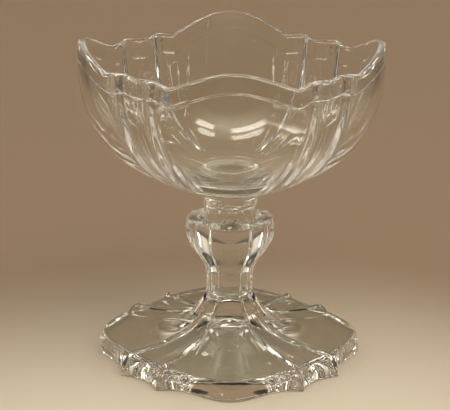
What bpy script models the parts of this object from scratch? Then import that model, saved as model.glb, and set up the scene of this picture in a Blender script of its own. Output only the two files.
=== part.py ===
"""Footed compote bowl of clear pressed glass.

A four-lobed bowl with a scalloped rim stands on a wafer of glass, a panelled stem with a flared collar
and a spreading foot. Every section has four wide bulging panels, square to X and Y, and four narrow
corners between them, each with two upright ribs. The origin is the middle of the base, with +Z up.
"""

import math
from dataclasses import dataclass

import bmesh
import bpy

# Driving dimensions in metres
JOINT_GAP = 0.0003
MERGE_DISTANCE = 0.00001

FOOT_RADIUS = 0.0622
FOOT_EDGE_HEIGHT = 0.0093
FOOT_EDGE_BATTER = 0.0027
FOOT_BRACKET_DEPTH = 0.0123
FOOT_BRACKET_SPAN = 0.0275
FOOT_CUSP_SPAN = 0.0334
FOOT_CUSP_LIFT = 0.0003
FOOT_CUSP_FLARE = 0.0077
FOOT_CORNER_HOLLOW = 0.0034
FOOT_SLOPE_HEIGHT = 0.0074
FOOT_FLARE_HEIGHT = 0.0135
FOOT_RIDGE_HALF_WIDTH = 0.0016
FOOT_RIDGE_LAND = 0.0006
FOOT_RIDGE_HEIGHT = 0.0018
FOOT_REST_WIDTH = 0.0060
FOOT_HOLLOW_HEIGHT = 0.0155

STEM_HEIGHT = 0.0420
STEM_WAIST_RADIUS = 0.0110
STEM_WAIST_HEIGHT = 0.0063
STEM_SHOULDER_HEIGHT = 0.0285
STEM_COLLAR_RADIUS = 0.0207
STEM_COLLAR_CORNER = 0.0187
STEM_COLLAR_HEIGHT = 0.0359
STEM_COLLAR_EDGE = 0.0012
STEM_COLLAR_ARCH = 0.0032
STEM_NECK_RADIUS = 0.0120
STEM_NECK_FILLET = 0.0012
STEM_RIB_OFFSET = 0.0055
STEM_RIB_HALF_WIDTH = 0.0017
STEM_RIB_LAND = 0.0005
STEM_RIB_HEIGHT = 0.0014

WAFER_RADIUS = 0.0127
WAFER_THICKNESS = 0.0035

BOWL_PANEL_RADIUS = 0.0700
BOWL_CORNER_RADIUS = 0.0606
BOWL_SEAT_RADIUS = 0.0123
BOWL_BOSS_STRAIGHT = 0.0010
BOWL_BOSS_FILLET = 0.0087
BOWL_UNDERSIDE_HEIGHT = 0.0037
BOWL_BELLY_HEIGHT = 0.0653
BOWL_NOTCH_HEIGHT = 0.0649
BOWL_SCALLOP_RISE = 0.0093
BOWL_RIB_RISE = 0.0017
BOWL_FLUTE_DIP = 0.0010
BOWL_RIB_OFFSET = 0.0102
BOWL_RIB_HALF_WIDTH = 0.0044
BOWL_RIB_LAND = 0.0060
BOWL_RIB_HEIGHT = 0.0018
BOWL_WALL = 0.0038
BOWL_FLOOR = 0.0065

# Shape of the curves, without a unit
BOWL_FULLNESS = 2.3
SCALLOP_SHARPNESS = 0.55
STEM_CURVE_POWER = 1.2
FOOT_RIDGE_POWER = 6.0
FOOT_SLOPE_POWER = 1.6
FOOT_FLARE_POWER = 8.0
FOOT_HOLLOW_POWER = 1.2
LOBES_FADE_START = 0.18
LOBES_FADE_END = 0.50
BOWL_KNEE_ANGLE = math.radians(66.0)
FOOT_RING_BUNCHING = 1.5
SHARP_ANGLE = math.radians(35.0)

# Fineness of the meshes
PANEL_STEPS = 5
LAND_STEPS = 1
RIB_STEPS = 4
FLUTE_STEPS = 1
BOWL_CURVE_STEPS = 8
BOWL_WALL_STEPS = 4
FILLET_STEPS = 4
LIP_STEPS = 4
STEM_CURVE_STEPS = 8
COLLAR_TOP_STEPS = 4
FOOT_TOP_STEPS = 9
FOOT_EDGE_STEPS = 4
FOOT_HOLLOW_STEPS = 5
WAFER_STEPS = 48
WAFER_EDGE_STEPS = 6

# Look of the glass
GLASS_ROUGHNESS = 0.03
GLASS_IOR = 1.52
FOOT_COLOUR = (0.93, 0.95, 0.91, 1.0)
STEM_COLOUR = (0.94, 0.95, 0.92, 1.0)
BOWL_COLOUR = (0.95, 0.96, 0.93, 1.0)

# Levels, stacked from the base
STEM_BASE = FOOT_EDGE_HEIGHT + FOOT_SLOPE_HEIGHT + FOOT_FLARE_HEIGHT + JOINT_GAP
WAFER_BASE = STEM_BASE + STEM_HEIGHT + JOINT_GAP
BOWL_BASE = WAFER_BASE + WAFER_THICKNESS + JOINT_GAP

QUARTER_TURNS = 4
ROOT_TWO = math.sqrt(2.0)
QUARTER_TURN = math.pi / 2


def smooth(share):
    """Ease from 0 to 1 with level ends."""
    held = min(max(share, 0.0), 1.0)
    return held * held * (3.0 - 2.0 * held)


def wave(share):
    """Fall from 1 to 0 as half a cosine."""
    return 0.5 * (1.0 + math.cos(math.pi * min(max(share, 0.0), 1.0)))


def spread(start, end, steps):
    """Even values after the start, up to and with the end."""
    return [start + (end - start) * step / steps for step in range(1, steps + 1)]


@dataclass(frozen=True)
class Section:
    """A level section: four bulging panels, and four flat corners with two ribs each.

    Sizes across a corner are measured from its middle, at 45 degrees between two panels.
    """

    panel: float
    corner: float
    rib_offset: float
    rib_half_width: float
    land: float
    rib_height: float

    def scaled(self, factor):
        """The same section at another size."""
        return Section(
            self.panel * factor,
            self.corner * factor,
            self.rib_offset * factor,
            self.rib_half_width * factor,
            self.land * factor,
            self.rib_height * factor,
        )

    def plain_inside(self, wall):
        """The section one wall further in, without ribs."""
        shrink = (self.corner - wall) / self.corner
        return Section(
            self.panel - wall,
            self.corner - wall,
            self.rib_offset * shrink,
            self.rib_half_width * shrink,
            self.land * shrink,
            0.0,
        )

    def corner_places(self):
        """Distances from the corner's middle, from the panel's edge inwards."""
        rib_outside = self.rib_offset + self.rib_half_width
        rib_inside = self.rib_offset - self.rib_half_width
        edge = rib_outside + self.land
        places = [edge]
        places += spread(edge, rib_outside, LAND_STEPS)
        places += spread(rib_outside, rib_inside, RIB_STEPS)
        places += spread(rib_inside, 0.0, FLUTE_STEPS)
        return places

    def rib(self, place):
        """Share of the rib's height at a place across the corner."""
        return wave(abs(place - self.rib_offset) / self.rib_half_width)

    def edge(self):
        """Where panel and corner meet: distance along the panel, and out from the axis."""
        place = self.corner_places()[0]
        return (self.corner - place) / ROOT_TWO, (self.corner + place) / ROOT_TWO

    def eighth(self):
        """Points from a panel's middle to a corner's middle, along the panel and out from the axis."""
        edge_along, edge_out = self.edge()
        points = []
        for step in range(PANEL_STEPS):
            share = step / PANEL_STEPS
            out = self.panel - (self.panel - edge_out) * share**2
            points.append((edge_along * share, out))
        for place in self.corner_places():
            reach = self.corner + self.rib_height * self.rib(place)
            points.append(((reach - place) / ROOT_TWO, (reach + place) / ROOT_TWO))
        return points


def whole_ring(eighth, heights):
    """Ring of points in space from one eighth of its plan and the heights there."""
    ring = []
    last = len(eighth) - 1
    for turn in range(QUARTER_TURNS):
        angle = turn * QUARTER_TURN
        for mirror in (1.0, -1.0):
            axis = angle if mirror > 0 else angle + QUARTER_TURN
            order = range(last + 1) if mirror > 0 else range(last - 1, 0, -1)
            for index in order:
                along = eighth[index][0] * mirror
                out = eighth[index][1]
                x = out * math.sin(axis) + along * math.cos(axis)
                y = along * math.sin(axis) - out * math.cos(axis)
                ring.append((x, y, heights[index]))
    return ring


def level_ring(section, height):
    """Ring of one section at one height."""
    eighth = section.eighth()
    return whole_ring(eighth, [height] * len(eighth))


def rounded_towards_circle(eighth, radius, share):
    """Plan of an eighth eased towards a circle: share 0 gives the circle, 1 the plan itself."""
    eased = []
    for along, out in eighth:
        reach = math.hypot(along, out)
        pull = (radius + (reach - radius) * share) / reach
        eased.append((along * pull, out * pull))
    return eased


def clear_scene():
    """Remove every object that is there at the start."""
    for item in list(bpy.data.objects):
        bpy.data.objects.remove(item, do_unlink=True)


def make_collection(name):
    """Collection for the pieces, linked to the scene."""
    collection = bpy.data.collections.new(name)
    bpy.context.scene.collection.children.link(collection)
    return collection


def make_glass(name, colour):
    """Clear glass with a faint tint."""
    material = bpy.data.materials.new(name)
    material.use_nodes = True
    shader = material.node_tree.nodes["Principled BSDF"]
    shader.inputs["Base Color"].default_value = colour
    shader.inputs["Roughness"].default_value = GLASS_ROUGHNESS
    shader.inputs["Metallic"].default_value = 0.0
    shader.inputs["IOR"].default_value = GLASS_IOR
    shader.inputs["Transmission Weight"].default_value = 1.0
    return material


def loft(name, rings, collection, material):
    """Closed body through rings of equal count, from its lowest inner ring round to its last one."""
    body = bmesh.new()
    loops = [[body.verts.new(point) for point in ring] for ring in rings]
    count = len(rings[0])
    for lower, upper in zip(loops, loops[1:]):
        for index in range(count):
            after = (index + 1) % count
            body.faces.new((lower[index], lower[after], upper[after], upper[index]))
    body.faces.new(list(reversed(loops[0])))
    body.faces.new(loops[-1])
    mesh = bpy.data.meshes.new(name)
    body.to_mesh(mesh)
    body.free()
    mesh.materials.append(material)
    mesh.shade_smooth()
    mesh.set_sharp_from_angle(angle=SHARP_ANGLE)
    piece = bpy.data.objects.new(name, mesh)
    collection.objects.link(piece)
    return piece


def bowl_section():
    """Section of the bowl at its widest."""
    return Section(
        BOWL_PANEL_RADIUS,
        BOWL_CORNER_RADIUS,
        BOWL_RIB_OFFSET,
        BOWL_RIB_HALF_WIDTH,
        BOWL_RIB_LAND,
        BOWL_RIB_HEIGHT,
    )


def stem_section(radius):
    """Section of the stem where its panels stand this far from the axis."""
    collar = Section(
        STEM_COLLAR_RADIUS,
        STEM_COLLAR_CORNER,
        STEM_RIB_OFFSET,
        STEM_RIB_HALF_WIDTH,
        STEM_RIB_LAND,
        STEM_RIB_HEIGHT,
    )
    return collar.scaled(radius / STEM_COLLAR_RADIUS)


def rim_heights(section):
    """Height of the scalloped rim above the bowl's seat, round one eighth."""
    heights = []
    for step in range(PANEL_STEPS):
        arch = wave(step / PANEL_STEPS) ** SCALLOP_SHARPNESS
        heights.append(BOWL_NOTCH_HEIGHT + BOWL_SCALLOP_RISE * arch)
    places = section.corner_places()
    for place in places:
        if place > section.rib_offset:
            climb = (places[0] - place) / (places[0] - section.rib_offset)
            heights.append(BOWL_NOTCH_HEIGHT + BOWL_RIB_RISE * smooth(climb))
        else:
            dip = BOWL_FLUTE_DIP * smooth(1.0 - place / section.rib_offset)
            heights.append(BOWL_NOTCH_HEIGHT + BOWL_RIB_RISE - dip)
    return heights


def belly_share(rise, depth):
    """Share of the full width at a height above the seat, for a curve of this depth below the belly."""
    drop = min(abs(BOWL_BELLY_HEIGHT - rise) / depth, 1.0)
    return (1.0 - drop**BOWL_FULLNESS) ** (1.0 / BOWL_FULLNESS)


def bowl_ring(section, rises, depth):
    """Ring of the bowl's wall at these heights above the seat."""
    full = section.eighth()
    eighth = []
    for (along, out), rise in zip(full, rises):
        share = belly_share(rise, depth)
        eighth.append((along * share, out * share))
    fade = smooth((belly_share(min(rises), depth) - LOBES_FADE_START) / (LOBES_FADE_END - LOBES_FADE_START))
    lobe = section.panel * belly_share(min(rises), depth)
    eighth = rounded_towards_circle(eighth, lobe, fade)
    return whole_ring(eighth, [BOWL_BASE + rise for rise in rises])


def wall_levels(section, depth, least_radius, lip):
    """Heights above the seat of each ring of a wall, from the bottom up to below the lip."""
    power = 2.0 / BOWL_FULLNESS
    count = len(section.eighth())
    start = math.asin((least_radius / section.panel) ** (1.0 / power))
    levels = []
    for angle in [start] + spread(start, BOWL_KNEE_ANGLE, BOWL_CURVE_STEPS):
        rise = BOWL_BELLY_HEIGHT - depth * math.cos(angle) ** power
        levels.append([rise] * count)
    knee = levels[-1][0]
    tops = [height - lip for height in rim_heights(section)]
    for share in spread(0.0, 1.0, BOWL_WALL_STEPS):
        levels.append([knee + (top - knee) * share for top in tops])
    return levels


def boss_rings(underside):
    """Round boss under the bowl, from its seat through a fillet to just below the underside."""
    rings = [(BOWL_SEAT_RADIUS, 0.0), (BOWL_SEAT_RADIUS, BOWL_BOSS_STRAIGHT)]
    for angle in spread(0.0, QUARTER_TURN, FILLET_STEPS)[:-1]:
        radius = BOWL_SEAT_RADIUS + BOWL_BOSS_FILLET * (1.0 - math.cos(angle))
        rings.append((radius, BOWL_BOSS_STRAIGHT + (underside - BOWL_BOSS_STRAIGHT) * math.sin(angle)))
    plan = bowl_section().eighth()
    return [
        whole_ring(rounded_towards_circle(plan, radius, 0.0), [BOWL_BASE + rise] * len(plan))
        for radius, rise in rings
    ]


def lip_rings(outer, inner, lip):
    """Rounded lip from the outer wall's last ring over to the inner wall's."""
    rings = []
    for step in range(1, LIP_STEPS):
        angle = math.pi * step / LIP_STEPS
        inwards = 0.5 * (1.0 - math.cos(angle))
        ring = []
        for start, end in zip(outer, inner):
            x, y, z = (a + (b - a) * inwards for a, b in zip(start, end))
            ring.append((x, y, z + lip * math.sin(angle)))
        rings.append(ring)
    return rings


def make_bowl(collection, material):
    """Lobed and ribbed bowl on a round boss, with a rounded lip and a plain inside."""
    outside = bowl_section()
    inside = outside.plain_inside(BOWL_WALL)
    lip = BOWL_WALL / 2
    outer_depth = BOWL_BELLY_HEIGHT - BOWL_UNDERSIDE_HEIGHT
    inner_depth = outer_depth - BOWL_FLOOR
    outer_levels = wall_levels(outside, outer_depth, BOWL_SEAT_RADIUS + BOWL_BOSS_FILLET, lip)
    inner_levels = wall_levels(inside, inner_depth, BOWL_SEAT_RADIUS / 2, lip)
    boss = boss_rings(outer_levels[0][0])
    outer = [bowl_ring(outside, rises, outer_depth) for rises in outer_levels]
    inner = [bowl_ring(inside, rises, inner_depth) for rises in inner_levels]
    crest = lip_rings(outer[-1], inner[-1], lip)
    return loft("bowl", boss + outer + crest + inner[::-1], collection, material)


def make_wafer(collection, material):
    """Turned disc of glass with a rounded edge, between stem and bowl."""
    half = WAFER_THICKNESS / 2
    middle = WAFER_BASE + half
    profile = [(0.0, middle + half)]
    for step in range(WAFER_EDGE_STEPS + 1):
        angle = QUARTER_TURN - math.pi * step / WAFER_EDGE_STEPS
        profile.append((WAFER_RADIUS - half + half * math.cos(angle), middle + half * math.sin(angle)))
    profile.append((0.0, middle - half))
    mesh = bpy.data.meshes.new("joining_wafer")
    points = [(radius, 0.0, height) for radius, height in profile]
    edges = [(index, index + 1) for index in range(len(points) - 1)]
    mesh.from_pydata(points, edges, [])
    mesh.materials.append(material)
    piece = bpy.data.objects.new("joining_wafer", mesh)
    collection.objects.link(piece)
    turned = piece.modifiers.new("turned", "SCREW")
    turned.steps = WAFER_STEPS
    turned.render_steps = WAFER_STEPS
    turned.use_merge_vertices = True
    turned.merge_threshold = MERGE_DISTANCE
    turned.use_smooth_shade = True
    return piece


def stem_profile():
    """Panel distance and height above the stem's foot, up the outside and over the collar's edge."""
    edge = STEM_COLLAR_HEIGHT - STEM_COLLAR_EDGE
    inside = STEM_COLLAR_RADIUS - STEM_COLLAR_EDGE
    profile = [(STEM_WAIST_RADIUS, 0.0), (STEM_WAIST_RADIUS, STEM_WAIST_HEIGHT)]
    swell = STEM_COLLAR_RADIUS - STEM_WAIST_RADIUS
    for share in spread(0.0, 1.0, STEM_CURVE_STEPS):
        height = STEM_WAIST_HEIGHT + (STEM_SHOULDER_HEIGHT - STEM_WAIST_HEIGHT) * share
        profile.append((STEM_WAIST_RADIUS + swell * smooth(share) ** STEM_CURVE_POWER, height))
    profile.append((STEM_COLLAR_RADIUS, edge))
    for angle in spread(0.0, QUARTER_TURN, LIP_STEPS):
        radius = inside + STEM_COLLAR_EDGE * math.cos(angle)
        profile.append((radius, edge + STEM_COLLAR_EDGE * math.sin(angle)))
    return profile


def collar_top_rings():
    """Rings in from the collar's edge, rising in an arch on each panel, and up the neck."""
    outside = STEM_COLLAR_RADIUS - STEM_COLLAR_EDGE
    inside = STEM_NECK_RADIUS + STEM_NECK_FILLET
    neck = stem_section(STEM_NECK_RADIUS)
    top = STEM_BASE + STEM_COLLAR_HEIGHT
    arches = [1.0 - (step / PANEL_STEPS) ** 2 for step in range(PANEL_STEPS)]
    arches += [0.0] * len(neck.corner_places())
    rings = []
    for share in spread(0.0, 1.0, COLLAR_TOP_STEPS):
        plan = stem_section(outside + (inside - outside) * share).eighth()
        rings.append(whole_ring(plan, [top + STEM_COLLAR_ARCH * arch * share for arch in arches]))
    fillet = [top + STEM_NECK_FILLET + STEM_COLLAR_ARCH * arch for arch in arches]
    rings.append(whole_ring(neck.eighth(), fillet))
    rings.append(level_ring(neck, STEM_BASE + STEM_HEIGHT))
    return rings


def make_stem(collection, material):
    """Panelled stem with a flared collar, whose top rises in four arches to a round neck."""
    rings = [level_ring(stem_section(radius), STEM_BASE + height) for radius, height in stem_profile()]
    return loft("stem", rings + collar_top_rings(), collection, material)


def foot_cusp():
    """A cusp of the foot's outline: out along the corner, and across from its middle."""
    out = FOOT_RADIUS - FOOT_BRACKET_DEPTH + FOOT_CUSP_LIFT
    return (out + FOOT_CUSP_SPAN) / ROOT_TWO, (out - FOOT_CUSP_SPAN) / ROOT_TWO


def foot_top_section():
    """Section of the foot along the upper edge of its rim."""
    cusp_reach, cusp_place = foot_cusp()
    corner = cusp_reach - FOOT_CUSP_FLARE
    return Section(
        FOOT_RADIUS - FOOT_EDGE_BATTER,
        corner,
        cusp_place * corner / cusp_reach,
        FOOT_RIDGE_HALF_WIDTH,
        FOOT_RIDGE_LAND,
        0.0,
    )


def bracket(along):
    """Distance of the foot's outline from the axis, at a distance along a panel."""
    low = FOOT_RADIUS - FOOT_BRACKET_DEPTH
    lift = FOOT_CUSP_LIFT * smooth((along - FOOT_BRACKET_SPAN) / (FOOT_CUSP_SPAN - FOOT_BRACKET_SPAN))
    return low + FOOT_BRACKET_DEPTH * wave(along / FOOT_BRACKET_SPAN) + lift


def foot_outline(top):
    """Outline on the ground of one eighth of the foot: a bracket to the cusp, then a hollow corner."""
    cusp_reach, cusp_place = foot_cusp()
    places = top.corner_places()
    edge_share = (top.corner - places[0]) / (top.corner - top.rib_offset)
    points = []
    for step in range(PANEL_STEPS):
        along = FOOT_CUSP_SPAN * edge_share * step / PANEL_STEPS
        points.append((along, bracket(along)))
    for place in places:
        if place > top.rib_offset:
            along = FOOT_CUSP_SPAN * (top.corner - place) / (top.corner - top.rib_offset)
            points.append((along, bracket(along)))
        else:
            share = place / top.rib_offset
            reach = cusp_reach - FOOT_CORNER_HOLLOW * (1.0 - share**2)
            across = cusp_place * share
            points.append(((reach - across) / ROOT_TWO, (reach + across) / ROOT_TWO))
    return points


def between(start, end, share):
    """Plan points part of the way from one eighth to another."""
    return [
        (a[0] + (b[0] - a[0]) * share, a[1] + (b[1] - a[1]) * share) for a, b in zip(start, end)
    ]


def make_foot(collection, material):
    """Spreading foot with raised ridges, an edge of brackets and cusps, and a hollow underneath."""
    top_section = foot_top_section()
    top_edge = top_section.eighth()
    waist = stem_section(STEM_WAIST_RADIUS).eighth()
    ground = foot_outline(top_section)
    ridges = [0.0] * PANEL_STEPS + [top_section.rib(place) for place in top_section.corner_places()]
    count = len(ground)
    hollow_radius = min(math.hypot(along, out) for along, out in ground) - FOOT_REST_WIDTH
    rings = []
    for share in spread(0.0, 1.0, FOOT_HOLLOW_STEPS):
        height = FOOT_HOLLOW_HEIGHT * (1.0 - share**FOOT_HOLLOW_POWER)
        plan = rounded_towards_circle(ground, hollow_radius * share, 0.0)
        rings.append(whole_ring(plan, [height] * count))
    rings.append(whole_ring(ground, [0.0] * count))
    for angle in spread(0.0, QUARTER_TURN, FOOT_EDGE_STEPS):
        plan = between(top_edge, ground, math.cos(angle))
        heights = [(FOOT_EDGE_HEIGHT + FOOT_RIDGE_HEIGHT * ridge) * math.sin(angle) for ridge in ridges]
        rings.append(whole_ring(plan, heights))
    for share in spread(0.0, 1.0, FOOT_TOP_STEPS):
        inwards = 1.0 - (1.0 - share) ** FOOT_RING_BUNCHING
        rise = FOOT_SLOPE_HEIGHT * inwards**FOOT_SLOPE_POWER + FOOT_FLARE_HEIGHT * inwards**FOOT_FLARE_POWER
        plan = between(top_edge, waist, inwards)
        crest = FOOT_RIDGE_HEIGHT * (1.0 - inwards**FOOT_RIDGE_POWER)
        heights = [FOOT_EDGE_HEIGHT + rise + crest * ridge for ridge in ridges]
        rings.append(whole_ring(plan, heights))
    return loft("foot", rings, collection, material)


def main():
    """Build the four pieces of glass from the ground up."""
    clear_scene()
    pieces = make_collection("compote_bowl")
    make_foot(pieces, make_glass("foot_glass", FOOT_COLOUR))
    make_stem(pieces, make_glass("stem_glass", STEM_COLOUR))
    make_wafer(pieces, make_glass("wafer_glass", STEM_COLOUR))
    make_bowl(pieces, make_glass("bowl_glass", BOWL_COLOUR))


main()
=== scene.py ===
"""Looks of a footed compote bowl of clear pressed glass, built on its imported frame.

The bowl, the joining wafer, the stem and the foot are each pulled up ring by ring from one round of the
mould, on sections with four bulging panels and four ribbed corners. Where two pieces are fused, both end in
the same flat outline, and light passes there as it does through one body of glass.
"""

import logging
import math
from dataclasses import astuple, dataclass, replace
from enum import Enum
from typing import ClassVar

import bmesh
import bpy
from mathutils import Matrix, Vector


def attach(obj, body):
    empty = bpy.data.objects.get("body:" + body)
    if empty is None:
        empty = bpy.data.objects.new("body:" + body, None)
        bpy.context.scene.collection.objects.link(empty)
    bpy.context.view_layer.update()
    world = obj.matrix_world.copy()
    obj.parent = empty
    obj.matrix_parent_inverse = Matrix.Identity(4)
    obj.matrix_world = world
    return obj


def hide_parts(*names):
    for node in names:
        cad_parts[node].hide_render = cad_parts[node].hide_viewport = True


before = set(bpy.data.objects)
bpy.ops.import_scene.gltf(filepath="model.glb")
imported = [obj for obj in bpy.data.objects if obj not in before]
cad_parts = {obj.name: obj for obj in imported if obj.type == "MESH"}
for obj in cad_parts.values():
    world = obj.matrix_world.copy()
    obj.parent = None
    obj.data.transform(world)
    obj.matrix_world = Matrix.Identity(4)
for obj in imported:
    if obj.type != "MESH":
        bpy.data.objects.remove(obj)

LOG = logging.getLogger("compote_bowl")
BODY = "root"
ROOT_TWO = math.sqrt(2.0)
QUARTER_TURN = math.pi / 2
CRISP_ANGLE = math.radians(40.0)
SIDEWAYS = (1.0, 0.0, 0.0)
UPWARDS = (0.0, 0.0, 1.0)

# Gap that the CAD pieces keep at a fused joint, and the radius where wafer and bowl are fused
JOINT_GAP = 0.0003
SEAT_RADIUS = 0.0123

Point = tuple[float, float, float]
Tone = tuple[float, float, float]
Plan = list[tuple[float, float]]
Ring = list[Point]
Tree = bpy.types.NodeTree
Socket = bpy.types.NodeSocket
Material = bpy.types.Material


class End(Enum):
    """How the first or last outline of a body is closed."""

    FUSED = "fused"
    GLASS = "glass"


class Slot(Enum):
    """Material slots of the record."""

    BOWL = "bowl_glass"
    WAFER = "wafer_glass"
    STEM = "stem_glass"
    FOOT = "foot_glass"


def smooth(share: float) -> float:
    """Ease from 0 to 1 with level ends."""
    held = min(max(share, 0.0), 1.0)
    return held * held * (3.0 - 2.0 * held)


def wave(share: float) -> float:
    """Fall from 1 to 0 as half a cosine."""
    return 0.5 * (1.0 + math.cos(math.pi * min(max(share, 0.0), 1.0)))


def spread(start: float, end: float, steps: int) -> list[float]:
    """Even values after the start, up to and with the end."""
    return [start + (end - start) * step / steps for step in range(1, steps + 1)]


def feed(tree: Tree, value: Socket | Tone | float, socket: Socket) -> None:
    """Link an output to an input, or write a tone or a number into it.

    Args:
        tree: Tree of both.
        value: Output, tone or number.
        socket: The input.
    """
    if isinstance(value, Socket):
        tree.links.new(value, socket)
    elif isinstance(value, tuple):
        socket.default_value = (*value, 1.0)
    else:
        socket.default_value = value


def math_node(tree: Tree, operation: str, *values: Socket | float) -> Socket:
    """Add a Math node.

    Args:
        tree: Tree that it goes in.
        operation: Kind of sum.
        values: Outputs or numbers, in the order of its inputs.

    Returns:
        Its output.
    """
    node = tree.nodes.new("ShaderNodeMath")
    node.operation = operation
    for socket, value in zip(node.inputs, values):
        feed(tree, value, socket)
    return node.outputs[0]


def axis_parts(tree: Tree, place: Socket) -> bpy.types.NodeOutputs:
    """Split a place or a direction into its X, Y and Z.

    Args:
        tree: Tree that the node goes in.
        place: What is split.

    Returns:
        The three outputs, by name.
    """
    node = tree.nodes.new("ShaderNodeSeparateXYZ")
    tree.links.new(place, node.inputs[0])
    return node.outputs


def vector_node(tree: Tree, operation: str, place: Socket, other: Point) -> Socket:
    """Add a Vector Math node that measures a place against a fixed vector.

    Args:
        tree: Tree that it goes in.
        operation: Kind of measure.
        place: What is measured.
        other: The fixed vector.

    Returns:
        The measure.
    """
    node = tree.nodes.new("ShaderNodeVectorMath")
    node.operation = operation
    tree.links.new(place, node.inputs[0])
    node.inputs[1].default_value = other
    return node.outputs["Value"]


def noise_node(tree: Tree, place: Socket, scale: float, detail: float) -> Socket:
    """Add a Noise Texture.

    Args:
        tree: Tree that it goes in.
        place: Where it is read.
        scale: How fine it is.
        detail: How many finer layers it has.

    Returns:
        Its value.
    """
    node = tree.nodes.new("ShaderNodeTexNoise")
    node.inputs["Scale"].default_value = scale
    node.inputs["Detail"].default_value = detail
    tree.links.new(place, node.inputs["Vector"])
    return node.outputs["Fac"]


def eased(tree: Tree, value: Socket, start: Socket | float, end: Socket | float) -> Socket:
    """Add a Map Range that eases from 0 at one value to 1 at another, whichever is the larger.

    Args:
        tree: Tree that it goes in.
        value: What is eased.
        start: Value that gives 0.
        end: Value that gives 1.

    Returns:
        The eased value.
    """
    node = tree.nodes.new("ShaderNodeMapRange")
    node.interpolation_type = "SMOOTHSTEP"
    for label, entry in (("Value", value), ("From Min", start), ("From Max", end)):
        feed(tree, entry, node.inputs[label])
    return node.outputs["Result"]


def mixed(tree: Tree, share: Socket, first: Socket | Tone, second: Tone) -> Socket:
    """Add a Mix of two colours.

    Args:
        tree: Tree that it goes in.
        share: 0 gives the first colour, 1 the second.
        first: Colour or output.
        second: Colour.

    Returns:
        The mixed colour.
    """
    node = tree.nodes.new("ShaderNodeMix")
    node.data_type = "RGBA"
    for label, entry in (("Factor", share), ("A", first), ("B", second)):
        feed(tree, entry, node.inputs[label])
    return node.outputs["Result"]


def background(tree: Tree, tone: Socket | Tone, strength: Socket | float) -> Socket:
    """Add a Background shader to a world.

    Args:
        tree: Tree of the world.
        tone: Its colour.
        strength: Its strength.

    Returns:
        Its output.
    """
    node = tree.nodes.new("ShaderNodeBackground")
    feed(tree, tone, node.inputs["Color"])
    feed(tree, strength, node.inputs["Strength"])
    return node.outputs[0]


class PressedSurface:
    """Node group for the skin of pressed glass: ripples, fine pitting, dimples and mould seams."""

    INPUTS = ("Ripple", "Seam", "Stipple", "Low", "Full", "Corner")
    OUTPUTS = ("Height", "Haze")
    RIPPLE_NOISE = (45.0, 1.0)
    PITTING_NOISE = (260.0, 2.0)
    DIMPLE_NOISE = (420.0, 0.0)
    PITTING_SHARE = 0.06
    SEAM_HALF_WIDTH = 0.0005

    def __init__(self) -> None:
        """Build the group once, for every glass."""
        tree = bpy.data.node_groups.new("pressed_surface", "ShaderNodeTree")
        self.group = tree
        for labels, side in ((self.INPUTS, "INPUT"), (self.OUTPUTS, "OUTPUT")):
            for label in labels:
                tree.interface.new_socket(label, in_out=side, socket_type="NodeSocketFloat")
        enter = tree.nodes.new("NodeGroupInput").outputs
        leave = tree.nodes.new("NodeGroupOutput").inputs
        place = tree.nodes.new("ShaderNodeTexCoord").outputs["Object"]
        fine = noise_node(tree, place, *self.PITTING_NOISE)
        pitting = math_node(tree, "MULTIPLY", enter["Ripple"], self.PITTING_SHARE)
        reliefs = (
            (noise_node(tree, place, *self.RIPPLE_NOISE), enter["Ripple"]),
            (fine, pitting),
            (self._seam(place), enter["Seam"]),
            (self._stipple(place, enter), enter["Stipple"]),
        )
        height = 0.0
        for relief, depth in reliefs:
            height = math_node(tree, "ADD", math_node(tree, "MULTIPLY", relief, depth), height)
        tree.links.new(height, leave["Height"])
        tree.links.new(fine, leave["Haze"])

    def _off_corner(self, place: Socket) -> Socket:
        """Distance from the middle of the nearest corner, where x and y are alike.

        Args:
            place: Place on the piece.

        Returns:
            The distance, along x or y.
        """
        tree = self.group
        parts = axis_parts(tree, place)
        x = math_node(tree, "ABSOLUTE", parts["X"])
        y = math_node(tree, "ABSOLUTE", parts["Y"])
        return math_node(tree, "ABSOLUTE", math_node(tree, "SUBTRACT", x, y))

    def _stipple(self, place: Socket, enter: bpy.types.NodeOutputs) -> Socket:
        """Uneven dimples above a height and near the corners, where the hot glass was worked.

        Args:
            place: Place on the piece.
            enter: Values that go into the group.

        Returns:
            The dimples' relief, about 0.
        """
        tree = self.group
        above = eased(tree, axis_parts(tree, place)["Z"], enter["Low"], enter["Full"])
        half = math_node(tree, "MULTIPLY", enter["Corner"], 0.5)
        near = eased(tree, self._off_corner(place), enter["Corner"], half)
        dimples = math_node(tree, "SUBTRACT", noise_node(tree, place, *self.DIMPLE_NOISE), 0.5)
        return math_node(tree, "MULTIPLY", dimples, math_node(tree, "MULTIPLY", above, near))

    def _seam(self, place: Socket) -> Socket:
        """Hair-thin line down the middle of each corner, where the parts of the mould met.

        Args:
            place: Place on the piece.

        Returns:
            The line's mask.
        """
        tree = self.group
        off = math_node(tree, "DIVIDE", self._off_corner(place), self.SEAM_HALF_WIDTH)
        return math_node(tree, "MAXIMUM", math_node(tree, "SUBTRACT", 1.0, off), 0.0)


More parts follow.
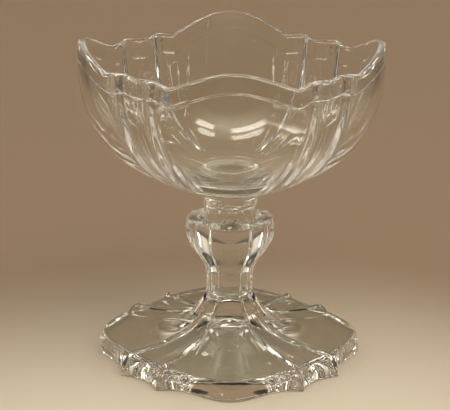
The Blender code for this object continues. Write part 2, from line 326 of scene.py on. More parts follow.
@dataclass(frozen=True)
class GlassFinish:
    """Clear glass with a faint tint, and the skin that the mould left on it."""

    slot: Slot
    tint: Tone
    roughness: float = 0.012
    haze: float = 0.02
    ripple: float = 0.00005
    seam: float = 0.00004
    stipple: float = 0.0
    stippled: tuple[float, float] = (-1.0, 0.0)
    corner: float = 1.0
    index: float = 1.52

    def material(self, surface: PressedSurface) -> Material:
        """Make the material.

        Args:
            surface: Node group for the glass's skin.

        Returns:
            The material, named for its slot.
        """
        material = bpy.data.materials.new(self.slot.value)
        material.use_nodes = True
        tree = material.node_tree
        shader = tree.nodes["Principled BSDF"].inputs
        shader["Base Color"].default_value = (*self.tint, 1.0)
        shader["Metallic"].default_value = 0.0
        shader["IOR"].default_value = self.index
        shader["Transmission Weight"].default_value = 1.0
        skin = tree.nodes.new("ShaderNodeGroup")
        skin.node_tree = surface.group
        values = (self.ripple, self.seam, self.stipple, *self.stippled, self.corner)
        for label, value in zip(surface.INPUTS, values):
            skin.inputs[label].default_value = value
        least = self.roughness - self.haze / 2
        rough = math_node(tree, "MULTIPLY_ADD", skin.outputs["Haze"], self.haze, least)
        tree.links.new(rough, shader["Roughness"])
        bump = tree.nodes.new("ShaderNodeBump")
        bump.inputs["Strength"].default_value = 1.0
        bump.inputs["Distance"].default_value = 1.0
        tree.links.new(skin.outputs["Height"], bump.inputs["Height"])
        tree.links.new(bump.outputs["Normal"], shader["Normal"])
        return material


FOOT_GLASS = GlassFinish(Slot.FOOT, (0.972, 0.975, 0.925))
STEM_GLASS = GlassFinish(Slot.STEM, (0.955, 0.978, 0.945), stipple=0.0003, stippled=(0.0650, 0.0660))
WAFER_GLASS = GlassFinish(Slot.WAFER, STEM_GLASS.tint, stipple=0.0008)
BOWL_GLASS = GlassFinish(
    Slot.BOWL, (0.97, 0.985, 0.96), stipple=0.0002, stippled=(0.122, 0.136), corner=0.026
)


class FusedJoint:
    """Flat ends where two bodies of glass are one, so that light goes straight on."""

    @staticmethod
    def material() -> Material:
        """Make the clear material of a fused end.

        Returns:
            The material.
        """
        material = bpy.data.materials.new("fused_joint")
        material.use_nodes = True
        tree = material.node_tree
        tree.nodes.clear()
        clear = tree.nodes.new("ShaderNodeBsdfTransparent")
        leave = tree.nodes.new("ShaderNodeOutputMaterial")
        tree.links.new(clear.outputs[0], leave.inputs["Surface"])
        return material


class GlassBody:
    """A closed body of glass, pulled up ring by ring from a round primitive."""

    def __init__(self, name: str, rings: list[Ring]) -> None:
        """Add the first round at its size and place, pull it through the other rings, and close it.

        Args:
            name: Name of the piece.
            rings: Rings in order, all with the same count of points.
        """
        first = rings[0]
        bpy.ops.object.select_all(action="DESELECT")
        reach = max(math.hypot(x, y) for x, y, _ in first)
        bpy.ops.mesh.primitive_circle_add(
            vertices=len(first), radius=reach, fill_type="NGON", location=(0.0, 0.0, first[0][2])
        )
        bpy.ops.object.transform_apply(location=True, rotation=True, scale=True)
        self.piece = bpy.context.active_object
        self.piece.name = name
        self.piece.data.name = name
        bpy.ops.object.mode_set(mode="EDIT")
        bpy.ops.mesh.select_mode(type="EDGE")
        bpy.ops.mesh.select_all(action="SELECT")
        self._number(first[0])
        self._settle(first)
        for ring in rings[1:]:
            bpy.ops.mesh.extrude_edges_move()
            self._settle(ring)
        self._close()

    def _form(self) -> bmesh.types.BMesh:
        """The mesh that is being edited."""
        return bmesh.from_edit_mesh(self.piece.data)

    def _number(self, start: Point) -> None:
        """Number the first round's points, from the one in the direction of the ring's start.

        Args:
            start: First point of the ring.
        """
        form = self._form()
        numbers = form.verts.layers.int.new("step")
        order = sorted(form.verts, key=lambda vertex: math.atan2(vertex.co.y, vertex.co.x))
        ahead = Vector(start).xy.normalized()
        lead = max(range(len(order)), key=lambda index: order[index].co.xy.normalized().dot(ahead))
        for offset in range(len(order)):
            order[(lead + offset) % len(order)][numbers] = offset

    def _settle(self, ring: Ring) -> None:
        """Bring the selected round onto its section.

        Args:
            ring: Where its points go.
        """
        form = self._form()
        numbers = form.verts.layers.int["step"]
        for vertex in form.verts:
            if vertex.select:
                vertex.co = ring[vertex[numbers]]
        bmesh.update_edit_mesh(self.piece.data, loop_triangles=False)

    def _close(self) -> None:
        """Fill the last round, and turn every face outwards."""
        bpy.ops.mesh.edge_face_add()
        bpy.ops.mesh.select_all(action="SELECT")
        bpy.ops.mesh.normals_make_consistent(inside=False)
        bpy.ops.object.mode_set(mode="OBJECT")
        self.piece.data.attributes.remove(self.piece.data.attributes["step"])

    def coat(self, glass: Material, joint: Material, ends: tuple[End, End]) -> None:
        """Give the body its glass, and its fused ends the joint.

        Args:
            glass: Material of the body.
            joint: Material of a fused end.
            ends: How the first and the last outline are closed.
        """
        self.piece.data.materials.append(glass)
        self.piece.data.materials.append(joint)
        caps = [face for face in self.piece.data.polygons if len(face.vertices) > 4]
        for face, kind in zip(caps, ends):
            face.material_index = 1 if kind is End.FUSED else 0
        bpy.ops.object.select_all(action="DESELECT")
        self.piece.select_set(True)
        bpy.context.view_layer.objects.active = self.piece
        bpy.ops.object.shade_smooth_by_angle(angle=CRISP_ANGLE)


class GlassPiece:
    """What the pieces share: the CAD node that each stands for, its glass, and how its ends close."""

    node: ClassVar[str]
    glass: ClassVar[GlassFinish]
    ends: ClassVar[tuple[End, End]]

    def dress(self, body: GlassBody, surface: PressedSurface, joint: Material) -> None:
        """Give a built body its finish, and let it ride on the frame in place of its CAD node.

        Args:
            body: The body.
            surface: Node group for the glass's skin.
            joint: Material of a fused end.
        """
        body.coat(self.glass.material(surface), joint, self.ends)
        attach(body.piece, BODY)
        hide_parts(self.node)
        LOG.info("%s: %d faces, for %s", body.piece.name, len(body.piece.data.polygons), self.node)


@dataclass(frozen=True)
class Fineness:
    """Steps of the mesh round one eighth of a section."""

    panel: int = 14
    land: int = 3
    rib: int = 16
    flute: int = 5


MESH = Fineness()


@dataclass(frozen=True)
class Section:
    """A level section: four bulging panels, and four flat corners with two ribs each.

    Sizes across a corner are measured from its middle, at 45 degrees between two panels.
    """

    panel: float
    corner: float
    rib_offset: float
    rib_half_width: float
    land: float
    rib_height: float

    def scaled(self, factor: float) -> "Section":
        """The same section at another size."""
        return Section(*(size * factor for size in astuple(self)))

    def plain_inside(self, wall: float) -> "Section":
        """The section one wall further in, without ribs."""
        inside = self.scaled((self.corner - wall) / self.corner)
        return replace(inside, panel=self.panel - wall, corner=self.corner - wall, rib_height=0.0)

    def corner_places(self) -> list[float]:
        """Distances from the corner's middle, from the panel's edge inwards.

        Returns:
            One distance for each point of the corner's half.
        """
        rib_outside = self.rib_offset + self.rib_half_width
        rib_inside = self.rib_offset - self.rib_half_width
        edge = rib_outside + self.land
        places = [edge]
        places += spread(edge, rib_outside, MESH.land)
        places += spread(rib_outside, rib_inside, MESH.rib)
        places += spread(rib_inside, 0.0, MESH.flute)
        return places

    def rib(self, place: float) -> float:
        """Share of the rib's height at a place across the corner."""
        return wave(abs(place - self.rib_offset) / self.rib_half_width)

    def panel_edge(self) -> tuple[float, float]:
        """Where panel and corner meet: distance along the panel, and out from the axis."""
        place = self.corner_places()[0]
        return (self.corner - place) / ROOT_TWO, (self.corner + place) / ROOT_TWO

    def eighth(self) -> Plan:
        """One eighth of the section, from a panel's middle to a corner's middle.

        Returns:
            Points along the panel and out from the axis.
        """
        edge_along, edge_out = self.panel_edge()
        points = []
        for step in range(MESH.panel):
            share = step / MESH.panel
            points.append((edge_along * share, self.panel - (self.panel - edge_out) * share**2))
        for place in self.corner_places():
            reach = self.corner + self.rib_height * self.rib(place)
            points.append(((reach - place) / ROOT_TWO, (reach + place) / ROOT_TWO))
        return points


def whole_ring(eighth: Plan, heights: list[float]) -> Ring:
    """Ring of points in space from one eighth of its plan.

    Args:
        eighth: Plan points from a panel's middle to a corner's middle.
        heights: Height of each of those points.

    Returns:
        The points of the four quarters, each made of two mirrored eighths.
    """
    ring = []
    last = len(eighth) - 1
    for turn in range(4):
        for mirror in (1.0, -1.0):
            axis = turn * QUARTER_TURN + (0.0 if mirror > 0 else QUARTER_TURN)
            order = range(last + 1) if mirror > 0 else range(last - 1, 0, -1)
            for index in order:
                along = eighth[index][0] * mirror
                out = eighth[index][1]
                x = out * math.sin(axis) + along * math.cos(axis)
                y = along * math.sin(axis) - out * math.cos(axis)
                ring.append((x, y, heights[index]))
    return ring


def level_ring(plan: Plan, height: float) -> Ring:
    """Ring of one plan at one height."""
    return whole_ring(plan, [height] * len(plan))


def rounded(plan: Plan, radius: float, share: float) -> Plan:
    """Ease a plan towards a circle.

    Args:
        plan: Plan points of one eighth.
        radius: Radius of the circle.
        share: 0 gives the circle, 1 the plan itself.

    Returns:
        The eased plan.
    """
    points = []
    for along, out in plan:
        reach = math.hypot(along, out)
        pull = (radius + (reach - radius) * share) / reach
        points.append((along * pull, out * pull))
    return points


def between(start: Plan, end: Plan, share: float) -> Plan:
    """Plan points part of the way from one eighth to another."""
    return [(a[0] + (b[0] - a[0]) * share, a[1] + (b[1] - a[1]) * share) for a, b in zip(start, end)]


@dataclass(frozen=True)
class Stem(GlassPiece):
    """Panelled stem with a flared collar, whose top rises in four arches to a short neck."""

    node: ClassVar[str] = "stem"
    glass: ClassVar[GlassFinish] = STEM_GLASS
    ends: ClassVar[tuple[End, End]] = (End.FUSED, End.FUSED)

    height: float = 0.0420
    waist_radius: float = 0.0110
    waist_height: float = 0.0063
    shoulder_height: float = 0.0285
    collar_radius: float = 0.0207
    collar_corner: float = 0.0187
    collar_height: float = 0.0359
    collar_edge: float = 0.0012
    collar_arch: float = 0.0032
    neck_radius: float = 0.0120
    neck_fillet: float = 0.0012
    rib_offset: float = 0.0055
    rib_half_width: float = 0.0017
    rib_land: float = 0.0005
    rib_height: float = 0.0014
    curve_power: float = 1.2
    waist_steps: int = 4
    swell_steps: int = 30
    shoulder_steps: int = 6
    edge_steps: int = 10
    arch_steps: int = 14
    fillet_steps: int = 8
    neck_steps: int = 4

    def plan(self, radius: float) -> Plan:
        """One eighth of the section where the panels stand this far from the axis.

        Args:
            radius: Distance of the panels.

        Returns:
            Its plan points.
        """
        ribs = (self.rib_offset, self.rib_half_width, self.rib_land, self.rib_height)
        collar = Section(self.collar_radius, self.collar_corner, *ribs)
        return collar.scaled(radius / self.collar_radius).eighth()

    def waist(self) -> Plan:
        """Outline where stem and foot are fused."""
        return self.plan(self.waist_radius)

    def neck(self) -> Plan:
        """Outline where stem and wafer are fused."""
        return self.plan(self.neck_radius)

    def top(self, base: float) -> float:
        """Height of the joint with the wafer, above a joint with the foot at this height."""
        return base + JOINT_GAP + self.height

    def profile(self) -> Plan:
        """Outside of the stem, from the joint with the foot up and over the collar's edge.

        Returns:
            Panel distances, and heights above the CAD stem's foot.
        """
        edge = self.collar_height - self.collar_edge
        inside = self.collar_radius - self.collar_edge
        profile = [(self.waist_radius, -JOINT_GAP)]
        for height in spread(0.0, self.waist_height, self.waist_steps):
            profile.append((self.waist_radius, height))
        swell = self.collar_radius - self.waist_radius
        for share in spread(0.0, 1.0, self.swell_steps):
            height = self.waist_height + (self.shoulder_height - self.waist_height) * share
            profile.append((self.waist_radius + swell * smooth(share) ** self.curve_power, height))
        for height in spread(self.shoulder_height, edge, self.shoulder_steps):
            profile.append((self.collar_radius, height))
        for angle in spread(0.0, QUARTER_TURN, self.edge_steps):
            radius = inside + self.collar_edge * math.cos(angle)
            profile.append((radius, edge + self.collar_edge * math.sin(angle)))
        return profile

    def collar_top(self, low: float) -> list[Ring]:
        """Rings in from the collar's edge, rising in an arch on each panel, and up the neck.

        Args:
            low: Height of the CAD stem's foot.

        Returns:
            The rings, up to the joint with the wafer.
        """
        outside = self.collar_radius - self.collar_edge
        inside = self.neck_radius + self.neck_fillet
        top = low + self.collar_height
        neck = self.neck()
        arches = [self.collar_arch * (1.0 - (step / MESH.panel) ** 2) for step in range(MESH.panel)]
        arches += [0.0] * (len(neck) - MESH.panel)
        rings = []
        for share in spread(0.0, 1.0, self.arch_steps):
            plan = self.plan(outside + (inside - outside) * share)
            rings.append(whole_ring(plan, [top + arch * share for arch in arches]))
        for angle in spread(0.0, QUARTER_TURN, self.fillet_steps):
            plan = self.plan(inside - self.neck_fillet * math.sin(angle))
            lift = top + self.neck_fillet * (1.0 - math.cos(angle))
            rings.append(whole_ring(plan, [lift + arch for arch in arches]))
        starts = [top + self.neck_fillet + arch for arch in arches]
        for share in spread(0.0, 1.0, self.neck_steps):
            heights = [start + (low + self.height - start) * share for start in starts]
            rings.append(whole_ring(neck, heights))
        return rings

    def build(self, base: float) -> GlassBody:
        """Pull the stem up from its waist to its neck.

        Args:
            base: Height of the joint with the foot.

        Returns:
            The closed body.
        """
        low = base + JOINT_GAP
        rings = [level_ring(self.plan(radius), low + height) for radius, height in self.profile()]
        return GlassBody("panelled_stem", rings + self.collar_top(low))


@dataclass(frozen=True)
class Wafer(GlassPiece):
    """Disc of glass that joins the stem to the bowl."""

    node: ClassVar[str] = "joining_wafer"
    glass: ClassVar[GlassFinish] = WAFER_GLASS
    ends: ClassVar[tuple[End, End]] = (End.FUSED, End.FUSED)

    radius: float = 0.0127
    thickness: float = 0.0035
    round_share: float = 0.25
    swell_power: float = 3.0
    steps: int = 14

    def whole(self) -> float:
        """Height between the two joints."""
        return self.thickness + 2 * JOINT_GAP

    def top(self, base: float) -> float:
        """Height of the joint with the bowl, above a joint with the stem at this height."""
        return base + self.whole()

    def build(self, base: float, neck: Plan) -> GlassBody:
        """Swell the wafer from the stem's neck, and draw it in to the bowl's seat.

        Args:
            base: Height of the joint with the stem.
            neck: Outline of that joint.

        Returns:
            The closed body.
        """
        rings = [level_ring(neck, base)]
        for share in spread(0.0, 1.0, self.steps):
            off_middle = abs(2.0 * share - 1.0)
            swell = self.radius - (self.radius - SEAT_RADIUS) * off_middle**self.swell_power
            plan = between(neck, rounded(neck, swell, 0.0), smooth(share / self.round_share))
            rings.append(level_ring(plan, base + self.whole() * share))
        return GlassBody("fused_wafer", rings)


@dataclass(frozen=True)
class Bowl(GlassPiece):
    """Lobed and ribbed bowl on a round boss, with a scalloped lip and a plain inside."""

    node: ClassVar[str] = "bowl"
    glass: ClassVar[GlassFinish] = BOWL_GLASS
    ends: ClassVar[tuple[End, End]] = (End.FUSED, End.GLASS)

    panel_radius: float = 0.06998
    corner_radius: float = 0.0606
    boss_straight: float = 0.0010
    boss_fillet: float = 0.0087
    underside_height: float = 0.0037
    belly_height: float = 0.0653
    notch_height: float = 0.0649
    scallop_rise: float = 0.0093
    rib_rise: float = 0.0017
    flute_dip: float = 0.0010
    rib_offset: float = 0.0102
    rib_half_width: float = 0.0044
    rib_land: float = 0.0060
    rib_height: float = 0.0018
    wall: float = 0.0038
    floor: float = 0.0065
    floor_start: float = 0.0015
    fullness: float = 2.3
    scallop_sharpness: float = 0.55
    fade_start: float = 0.18
    fade_end: float = 0.50
    knee_angle: float = math.radians(66.0)
    ledge_drop: float = 0.0085
    ledge_depth: float = 0.0005
    ledge_blend: float = 0.0009
    boss_steps: int = 12
    lip_steps: int = 14
    outer_steps: tuple[int, int] = (34, 14)
    inner_steps: tuple[int, int] = (40, 70)

    def section(self) -> Section:
        """Section of the outside at its widest."""
        ribs = (self.rib_offset, self.rib_half_width, self.rib_land, self.rib_height)
        return Section(self.panel_radius, self.corner_radius, *ribs)

    def rim_heights(self, section: Section) -> list[float]:
        """Heights of the scalloped rim above the seat, round one eighth.

        Args:
            section: Section that the rim follows.

        Returns:
            One height for each point.
        """
        heights = []
        for step in range(MESH.panel):
            arch = wave(step / MESH.panel) ** self.scallop_sharpness
            heights.append(self.notch_height + self.scallop_rise * arch)
        places = section.corner_places()
        for place in places:
            if place > section.rib_offset:
                climb = (places[0] - place) / (places[0] - section.rib_offset)
                heights.append(self.notch_height + self.rib_rise * smooth(climb))
            else:
                dip = self.flute_dip * smooth(1.0 - place / section.rib_offset)
                heights.append(self.notch_height + self.rib_rise - dip)
        return heights

    def share(self, rise: float, depth: float) -> float:
        """Share of the full width at a height above the seat, on a curve this deep below the belly."""
        drop = min(abs(self.belly_height - rise) / depth, 1.0)
        return (1.0 - drop**self.fullness) ** (1.0 / self.fullness)

    def ledge(self, rises: list[float], rims: list[float]) -> list[float]:
        """How far points at these heights stand in, below a ledge that follows the rim above them."""
        drops = [rim - self.ledge_drop - rise for rise, rim in zip(rises, rims)]
        return [self.ledge_depth * smooth(drop / self.ledge_blend) for drop in drops]

    def wall_ring(self, section: Section, rises: list[float], depth: float, backs: list[float]) -> Ring:
        """Ring of a wall, with heights above the seat.

        Args:
            section: Section at its widest.
            rises: Heights of one eighth's points.
            depth: Depth of the wall's curve below the belly.
            backs: How far each point stands in.

        Returns:
            The ring.
        """
        plan = []
        for (along, out), rise, back in zip(section.eighth(), rises, backs):
            share = self.share(rise, depth)
            plan.append((along * share, (out - back) * share))
        least = self.share(min(rises), depth)
        fade = smooth((least - self.fade_start) / (self.fade_end - self.fade_start))
        return whole_ring(rounded(plan, section.panel * least, fade), rises)

    def wall_levels(
        self, section: Section, depth: float, least_radius: float, steps: tuple[int, int]
    ) -> list[list[float]]:
        """Heights above the seat of each ring of a wall, from the bottom up to below the lip.

        Args:
            section: Section at its widest.
            depth: Depth of the wall's curve below the belly.
            least_radius: Panel distance of the lowest ring.
            steps: Rings of the curve, and of the wall above it.

        Returns:
            One list of heights for each ring.
        """
        power = 2.0 / self.fullness
        count = len(section.eighth())
        start = math.asin((least_radius / section.panel) ** (1.0 / power))
        levels = []
        for angle in [start] + spread(start, self.knee_angle, steps[0]):
            levels.append([self.belly_height - depth * math.cos(angle) ** power] * count)
        knee = levels[-1][0]
        tops = [height - self.wall / 2 for height in self.rim_heights(section)]
        for share in spread(0.0, 1.0, steps[1]):
            levels.append([knee + (top - knee) * share for top in tops])
        return levels

    def boss(self, underside: float) -> list[Ring]:
        """Rings of the round boss, from the seat through a fillet to just below the underside.

        Args:
            underside: Height of the underside above the seat.

        Returns:
            The rings, with heights above the seat.
        """
        rounds = [(SEAT_RADIUS, self.boss_straight * share) for share in (0.0, 0.5, 1.0)]
        curve_height = underside - self.boss_straight
        for angle in spread(0.0, QUARTER_TURN, self.boss_steps)[:-1]:
            radius = SEAT_RADIUS + self.boss_fillet * (1.0 - math.cos(angle))
            rounds.append((radius, self.boss_straight + curve_height * math.sin(angle)))
        plan = self.section().eighth()
        return [level_ring(rounded(plan, radius, 0.0), rise) for radius, rise in rounds]

    def lip(self, outer: Ring, inner: Ring) -> list[Ring]:
        """Rounded lip from the outer wall's last ring over to the inner wall's.

        Args:
            outer: Last ring of the outer wall.
            inner: Last ring of the inner wall.

        Returns:
            The rings between them.
        """
        rings = []
        for angle in spread(0.0, math.pi, self.lip_steps)[:-1]:
            inwards = 0.5 * (1.0 - math.cos(angle))
            ring = []
            for start, end in zip(outer, inner):
                x, y, z = (a + (b - a) * inwards for a, b in zip(start, end))
                ring.append((x, y, z + self.wall / 2 * math.sin(angle)))
            rings.append(ring)
        return rings

    def build(self, base: float) -> GlassBody:
        """Pull the bowl up its outside, over the lip and down its inside.

        Args:
            base: Height of the seat.

        Returns:
            The closed body.
        """
        outside = self.section()
        inside = outside.plain_inside(self.wall)
        outer_depth = self.belly_height - self.underside_height
        inner_depth = outer_depth - self.floor
        boss_radius = SEAT_RADIUS + self.boss_fillet
        outer_levels = self.wall_levels(outside, outer_depth, boss_radius, self.outer_steps)
        inner_levels = self.wall_levels(inside, inner_depth, self.floor_start, self.inner_steps)
        rims = self.rim_heights(inside)
        flush = [0.0] * len(rims)
        outer = [self.wall_ring(outside, rises, outer_depth, flush) for rises in outer_levels]
        inner = []
        for rises in inner_levels:
            inner.append(self.wall_ring(inside, rises, inner_depth, self.ledge(rises, rims)))
        rings = self.boss(outer_levels[0][0]) + outer + self.lip(outer[-1], inner[-1]) + inner[::-1]
        return GlassBody("lobed_bowl", [[(x, y, base + z) for x, y, z in ring] for ring in rings])


@dataclass(frozen=True)
class Foot(GlassPiece):
    """Spreading foot with raised ridges, an edge of brackets and cusps, and a hollow underneath."""

    node: ClassVar[str] = "foot"
    glass: ClassVar[GlassFinish] = FOOT_GLASS
    ends: ClassVar[tuple[End, End]] = (End.GLASS, End.FUSED)

    radius: float = 0.0622
    edge_height: float = 0.0093
    edge_batter: float = 0.0027
    bracket_depth: float = 0.0123
    bracket_span: float = 0.0275
    cusp_span: float = 0.0334
    cusp_lift: float = 0.0003
    cusp_flare: float = 0.0077
    corner_hollow: float = 0.0034
    slope_height: float = 0.0074
    flare_height: float = 0.0135
    ridge_half_width: float = 0.0016
    ridge_land: float = 0.0006
    ridge_height: float = 0.0018
    ridge_fade: float = 6.0
    rest_width: float = 0.0060
    hollow_height: float = 0.0155
    slope_power: float = 1.6
    flare_power: float = 8.0
    hollow_power: float = 1.2
    bunching: float = 1.5
    base_round: float = 0.0006
    hollow_steps: int = 30
    base_steps: int = 5
    edge_steps: int = 14
    slope_steps: int = 44

    def top(self) -> float:
        """Height of the joint with the stem."""
        return self.edge_height + self.slope_height + self.flare_height

    def cusp(self) -> tuple[float, float]:
        """A cusp of the outline: out along the corner, and across from its middle."""
        out = self.radius - self.bracket_depth + self.cusp_lift
        return (out + self.cusp_span) / ROOT_TWO, (out - self.cusp_span) / ROOT_TWO

    def top_section(self) -> Section:
        """Section along the upper edge of the rim.

        Returns:
            The section, whose ribs lie under the ridges.
        """
        cusp_reach, cusp_place = self.cusp()
        corner = cusp_reach - self.cusp_flare
        ribs = (cusp_place * corner / cusp_reach, self.ridge_half_width, self.ridge_land, 0.0)
        return Section(self.radius - self.edge_batter, corner, *ribs)

    def bracket(self, along: float) -> float:
        """Distance of the outline from the axis, at a distance along a panel.

        Args:
            along: Distance along the panel, from its middle.

        Returns:
            The distance from the axis.
        """
        low = self.radius - self.bracket_depth
        lift = self.cusp_lift * smooth((along - self.bracket_span) / (self.cusp_span - self.bracket_span))
        return low + self.bracket_depth * wave(along / self.bracket_span) + lift

    def outline(self, top: Section) -> Plan:
        """Outline on the ground of one eighth: a bracket to the cusp, then a hollow corner.

        Args:
            top: Section along the upper edge of the rim.

        Returns:
            Points in step with that section's.
        """
        cusp_reach, cusp_place = self.cusp()
        places = top.corner_places()
        edge_share = (top.corner - places[0]) / (top.corner - top.rib_offset)
        points = []
        for step in range(MESH.panel):
            along = self.cusp_span * edge_share * step / MESH.panel
            points.append((along, self.bracket(along)))
        for place in places:
            if place > top.rib_offset:
                along = self.cusp_span * (top.corner - place) / (top.corner - top.rib_offset)
                points.append((along, self.bracket(along)))
            else:
                share = place / top.rib_offset
                reach = cusp_reach - self.corner_hollow * (1.0 - share**2)
                across = cusp_place * share
                points.append(((reach - across) / ROOT_TWO, (reach + across) / ROOT_TWO))
        return points

    def underside(self, ground: Plan) -> list[Ring]:
        """Rings of the hollow, the flat ring that the foot rests on, and its rounded edge.

        Args:
            ground: Outline on the ground.

        Returns:
            The rings, from the hollow's middle out.
        """
        hollow_radius = min(math.hypot(along, out) for along, out in ground) - self.rest_width
        rings = []
        for share in spread(0.0, 1.0, self.hollow_steps):
            height = self.hollow_height * (1.0 - share**self.hollow_power) * smooth(1.0 - share)
            rings.append(level_ring(rounded(ground, hollow_radius * share, 0.0), height))
        inset = [(along * (1.0 - self.base_round / out), out - self.base_round) for along, out in ground]
        rings.append(level_ring(between(inset, rounded(ground, hollow_radius, 0.0), 0.5), 0.0))
        for angle in spread(-QUARTER_TURN, 0.0, self.base_steps):
            plan = between(inset, ground, math.cos(angle))
            rings.append(level_ring(plan, self.base_round * (1.0 + math.sin(angle))))
        return rings

    def build(self, waist: Plan) -> GlassBody:
        """Pull the foot from its hollow out to its edge, and up to the stem.

        Args:
            waist: Outline where it is fused to the stem.

        Returns:
            The closed body.
        """
        top_section = self.top_section()
        top_edge = top_section.eighth()
        ground = self.outline(top_section)
        ridges = [0.0] * MESH.panel + [top_section.rib(place) for place in top_section.corner_places()]
        rings = self.underside(ground)
        rises = [self.edge_height - self.base_round + self.ridge_height * ridge for ridge in ridges]
        for angle in spread(0.0, QUARTER_TURN, self.edge_steps):
            plan = between(top_edge, ground, math.cos(angle))
            rings.append(whole_ring(plan, [self.base_round + rise * math.sin(angle) for rise in rises]))
        for share in spread(0.0, 1.0, self.slope_steps):
            inwards = 1.0 - (1.0 - share) ** self.bunching
            slope = self.slope_height * inwards**self.slope_power
            level = self.edge_height + slope + self.flare_height * inwards**self.flare_power
            crest = self.ridge_height * (1.0 - inwards**self.ridge_fade)
            plan = between(top_edge, waist, inwards)
            rings.append(whole_ring(plan, [level + crest * ridge for ridge in ridges]))
        return GlassBody("bracketed_foot", rings)


@dataclass(frozen=True)
class SoftBox:
    """A bright panel of the surround, which shows in the glass alone and doesn't light the floor."""

    facing: Point
    across: Point
    half_width: float
    half_height: float
    strength: float
    softness: float = 0.3

    def pair(self) -> tuple["SoftBox", "SoftBox"]:
        """The panel's mirror image on the other side, and the panel."""
        x, y, z = self.facing
        return replace(self, facing=(-x, y, z)), self

    def shine(self, tree: Tree, place: Socket) -> Socket:
        """Add the nodes of the panel.

        Args:
            tree: Tree of the world.
            place: Direction that is looked in.

        Returns:
            How bright the panel is in that direction.
        """
        ahead = Vector(self.facing).normalized()
        across = Vector(self.across)
        across = (across - ahead * across.dot(ahead)).normalized()
        shine = math_node(tree, "GREATER_THAN", vector_node(tree, "DOT_PRODUCT", place, ahead), 0.0)
        for axis, half in ((across, self.half_width), (ahead.cross(across), self.half_height)):
            off = math_node(tree, "ABSOLUTE", vector_node(tree, "DOT_PRODUCT", place, axis))
            inside = eased(tree, off, half * (1.0 + self.softness), half * (1.0 - self.softness))
            shine = math_node(tree, "MULTIPLY", shine, inside)
        return math_node(tree, "MULTIPLY", shine, self.strength)


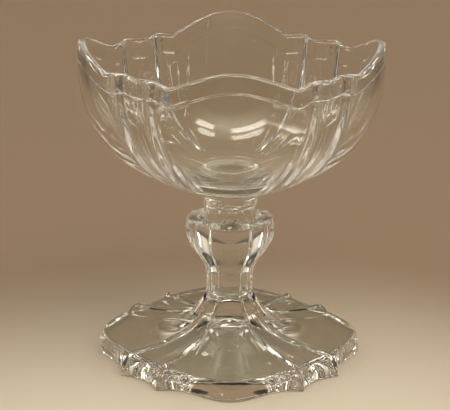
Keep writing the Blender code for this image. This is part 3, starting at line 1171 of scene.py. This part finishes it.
@dataclass(frozen=True)
class Studio:
    """Pale floor with a painted pool of light in front and painted shade at its sides, soft lamp, surround
    with bright panels, and the camera.
    """

    # Painted pool of light: the floor's pale colour in front of the object
    light_pool_tone: Tone = (0.80, 0.69, 0.53)
    far_tone: Tone = (0.31, 0.215, 0.132)
    # Painted shade: the floor's dim colour at its sides, out of view, and how far from the middle it sets
    # in
    side_shade_tone: Tone = (0.11, 0.078, 0.05)
    side_shade_reach: tuple[float, float] = (0.25, 0.40)
    # Painted pool of light: how far it reaches, and its middle in front of the object
    light_pool_reach: tuple[float, float] = (0.09, 0.30)
    light_pool_middle: Point = (0.0, -0.16, 0.0)
    floor_reach: float = 6.0
    floor_level: float = -0.0003
    floor_points: int = 96
    floor_roughness: float = 0.7
    floor_sheen: float = 0.2
    low_tone: Tone = (0.05, 0.04, 0.03)
    high_tone: Tone = (0.015, 0.012, 0.010)
    tone_heights: tuple[float, float] = (0.15, 0.60)
    backdrop: tuple[float, float] = (0.72, 0.86)
    glow_tone: Tone = (1.0, 0.95, 0.88)
    glow: float = 0.75
    panels: tuple[SoftBox, ...] = (
        SoftBox((-0.32, 0.30, 0.90), SIDEWAYS, 0.28, 0.06, 14.0),
        SoftBox((0.48, 0.28, 0.90), SIDEWAYS, 0.14, 0.06, 14.0),
        SoftBox((-0.05, 0.14, 0.99), SIDEWAYS, 0.55, 0.17, 1.8, 0.7),
        *SoftBox((0.97, 0.12, 0.25), UPWARDS, 0.33, 0.03, 16.0).pair(),
        *SoftBox((0.70, 0.70, 0.15), UPWARDS, 0.19, 0.03, 8.0).pair(),
        *SoftBox((0.55, 0.80, 0.18), UPWARDS, 0.25, 0.16, 0.6, 0.5).pair(),
    )
    lamp_tone: Tone = (1.0, 0.93, 0.82)
    lamp_place: Point = (0.45, -0.45, 1.2)
    lamp_aim: Point = (0.0, 0.0, 0.09)
    lamp_size: tuple[float, float] = (1.2, 0.8)
    lamp_power: float = 5.0
    light_turns: int = 48
    lens: float = 126.53
    sensor: float = 36.0
    near_clip: float = 0.01
    camera_place: Point = (-0.01083, -0.70316, 0.29924)
    camera_turn: float = -0.0119
    camera_dip: float = 0.3125
    camera_roll: float = 0.0093

    def floor_tone(self, tree: Tree) -> Socket:
        """Colour of the floor: a painted pool of light in front of the object, plain further off, and
        painted shade at the sides, out of view.

        Args:
            tree: Tree of the floor's material.

        Returns:
            The colour.
        """
        place = tree.nodes.new("ShaderNodeTexCoord").outputs["Object"]
        # Painted pool of light: the floor grows paler towards a point in front of the object
        away = vector_node(tree, "DISTANCE", place, self.light_pool_middle)
        tone = mixed(tree, eased(tree, away, *self.light_pool_reach), self.light_pool_tone, self.far_tone)
        # Painted shade: the floor dims towards the sides
        aside = math_node(tree, "ABSOLUTE", axis_parts(tree, place)["X"])
        return mixed(tree, eased(tree, aside, *self.side_shade_reach), tone, self.side_shade_tone)

    def floor(self) -> None:
        """Lay the round floor."""
        bpy.ops.object.select_all(action="DESELECT")
        bpy.ops.mesh.primitive_circle_add(
            vertices=self.floor_points,
            radius=self.floor_reach,
            fill_type="NGON",
            location=(0.0, 0.0, self.floor_level),
        )
        floor = bpy.context.active_object
        floor.name = "studio_floor"
        material = bpy.data.materials.new("pale_floor")
        material.use_nodes = True
        tree = material.node_tree
        shader = tree.nodes["Principled BSDF"].inputs
        shader["Roughness"].default_value = self.floor_roughness
        shader["Specular IOR Level"].default_value = self.floor_sheen
        tree.links.new(self.floor_tone(tree), shader["Base Color"])
        floor.data.materials.append(material)

    def backdrop_tone(self, tree: Tree, place: Socket) -> Socket:
        """Colour of the surround: a plain backdrop behind the object, and dimmer all round.

        Args:
            tree: Tree of the world.
            place: Direction that is looked in.

        Returns:
            The colour.
        """
        parts = axis_parts(tree, place)
        ramp = tree.nodes.new("ShaderNodeValToRGB")
        tones = (self.low_tone, self.high_tone)
        for element, height, tone in zip(ramp.color_ramp.elements, self.tone_heights, tones):
            element.position = height
            element.color = (*tone, 1.0)
        tree.links.new(parts["Z"], ramp.inputs["Fac"])
        behind = eased(tree, parts["Y"], *self.backdrop)
        return mixed(tree, behind, ramp.outputs["Color"], self.far_tone)

    def surround(self) -> None:
        """Make the world: a backdrop and bright panels for the glass to show, and a plain glow."""
        world = bpy.data.worlds.new("studio_surround")
        bpy.context.scene.world = world
        world.use_nodes = True
        tree = world.node_tree
        tree.nodes.clear()
        place = tree.nodes.new("ShaderNodeTexCoord").outputs["Generated"]
        path = tree.nodes.new("ShaderNodeLightPath").outputs
        direct = math_node(tree, "MAXIMUM", path["Is Camera Ray"], path["Is Glossy Ray"])
        direct = math_node(tree, "MAXIMUM", direct, path["Is Transmission Ray"])
        fresh = math_node(tree, "LESS_THAN", path["Diffuse Depth"], 0.5)
        direct = math_node(tree, "MULTIPLY", direct, fresh)
        in_glass = math_node(tree, "SUBTRACT", direct, path["Is Camera Ray"])
        shine = 0.0
        for panel in self.panels:
            shine = math_node(tree, "ADD", panel.shine(tree, place), shine)
        mix = tree.nodes.new("ShaderNodeMixShader")
        tree.links.new(direct, mix.inputs["Fac"])
        tree.links.new(background(tree, self.glow_tone, self.glow), mix.inputs[1])
        tree.links.new(background(tree, self.backdrop_tone(tree, place), 1.0), mix.inputs[2])
        both = tree.nodes.new("ShaderNodeAddShader")
        bright = background(tree, self.lamp_tone, math_node(tree, "MULTIPLY", shine, in_glass))
        tree.links.new(mix.outputs[0], both.inputs[0])
        tree.links.new(bright, both.inputs[1])
        leave = tree.nodes.new("ShaderNodeOutputWorld")
        tree.links.new(both.outputs[0], leave.inputs["Surface"])

    def lamp(self) -> None:
        """Hang the soft box that gives the object its shadow, out of the glass's sight."""
        light = bpy.data.lights.new("soft_box", "AREA")
        light.shape = "RECTANGLE"
        light.size, light.size_y = self.lamp_size
        light.energy = self.lamp_power
        light.color = self.lamp_tone
        lamp = bpy.data.objects.new("soft_box", light)
        bpy.context.scene.collection.objects.link(lamp)
        lamp.location = self.lamp_place
        aim = Vector(self.lamp_aim) - Vector(self.lamp_place)
        lamp.rotation_euler = aim.to_track_quat("-Z", "Y").to_euler()
        lamp.visible_camera = False
        lamp.visible_glossy = False
        lamp.visible_transmission = False

    def light_paths(self) -> None:
        """Let light be followed through the many turns that it takes inside ribbed glass."""
        paths = bpy.context.scene.cycles
        paths.max_bounces = self.light_turns
        paths.transmission_bounces = self.light_turns
        paths.glossy_bounces = self.light_turns
        paths.transparent_max_bounces = self.light_turns

    def camera(self) -> None:
        """Set the camera where the photograph was taken from."""
        lens = bpy.data.cameras.new("camera")
        lens.sensor_fit = "HORIZONTAL"
        lens.sensor_width = self.sensor
        lens.lens = self.lens
        lens.clip_start = self.near_clip
        camera = bpy.data.objects.new("camera", lens)
        bpy.context.scene.collection.objects.link(camera)
        turn = Matrix.Rotation(self.camera_turn, 4, "Z")
        dip = Matrix.Rotation(QUARTER_TURN - self.camera_dip, 4, "X")
        roll = Matrix.Rotation(self.camera_roll, 4, "Z")
        camera.matrix_world = Matrix.Translation(self.camera_place) @ turn @ dip @ roll
        bpy.context.scene.camera = camera

    def build(self) -> None:
        """Set up the whole studio."""
        bpy.context.scene.view_settings.view_transform = "Standard"
        self.light_paths()
        self.camera()
        self.floor()
        self.surround()
        self.lamp()


def main() -> None:
    """Build the studio and the four pieces of glass, from the ground up."""
    logging.basicConfig(level=logging.INFO, format="%(name)s: %(message)s")
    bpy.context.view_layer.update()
    Studio().build()

    surface = PressedSurface()
    joint = FusedJoint.material()
    foot, stem, wafer, bowl = Foot(), Stem(), Wafer(), Bowl()
    waist_level = foot.top()
    neck_level = stem.top(waist_level)
    seat_level = wafer.top(neck_level)

    foot.dress(foot.build(stem.waist()), surface, joint)
    stem.dress(stem.build(waist_level), surface, joint)
    wafer.dress(wafer.build(neck_level, stem.neck()), surface, joint)
    bowl.dress(bowl.build(seat_level), surface, joint)


if __name__ == "__main__":
    main()
